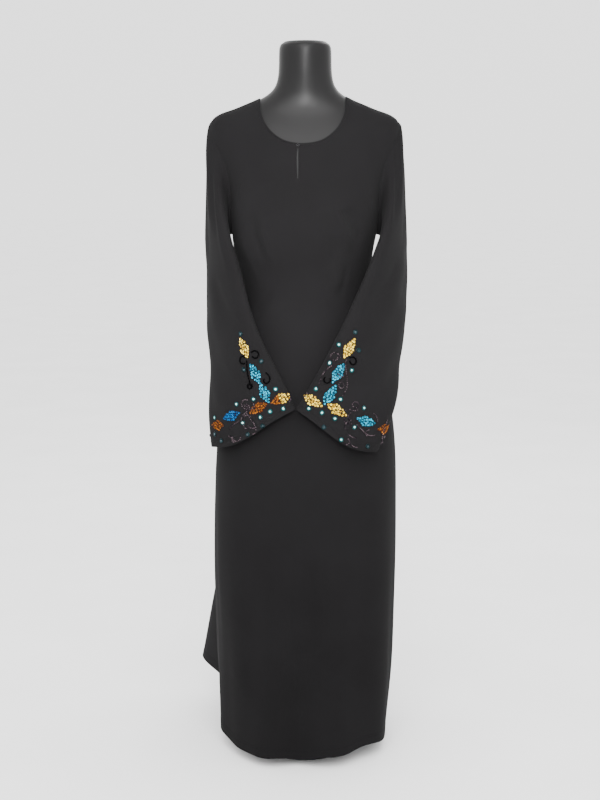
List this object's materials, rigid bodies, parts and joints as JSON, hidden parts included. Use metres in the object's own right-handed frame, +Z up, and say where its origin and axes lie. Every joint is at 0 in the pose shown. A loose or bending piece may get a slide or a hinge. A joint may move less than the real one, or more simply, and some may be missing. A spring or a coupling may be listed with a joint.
{
  "type": "kaftan on dress form",
  "caption": "Long black kaftan with wide bell sleeves brought together at the front, worn by a plain limbless dress form on a pole and round base.",
  "frame": {"origin": "centre of the underside of the round base, on the pole's axis", "axes": "+Z up along the pole, -Y towards the wearer's front, +X towards the wearer's left"},
  "size_m": [0.4532, 0.4379, 1.501],
  "materials": {
    "black_crepe": "matte black crepe",
    "grey_gloss": "glossy dark grey moulded shell",
    "dark_steel": "dark satin painted steel"
  },
  "bodies": {
    "root": {"front": "black_crepe", "back": "black_crepe", "sleeve_right": "black_crepe", "sleeve_left": "black_crepe", "neck_hook": "dark_steel", "dress_form": "grey_gloss", "pole": "dark_steel", "base": "dark_steel"}
  },
  "joints": []
}
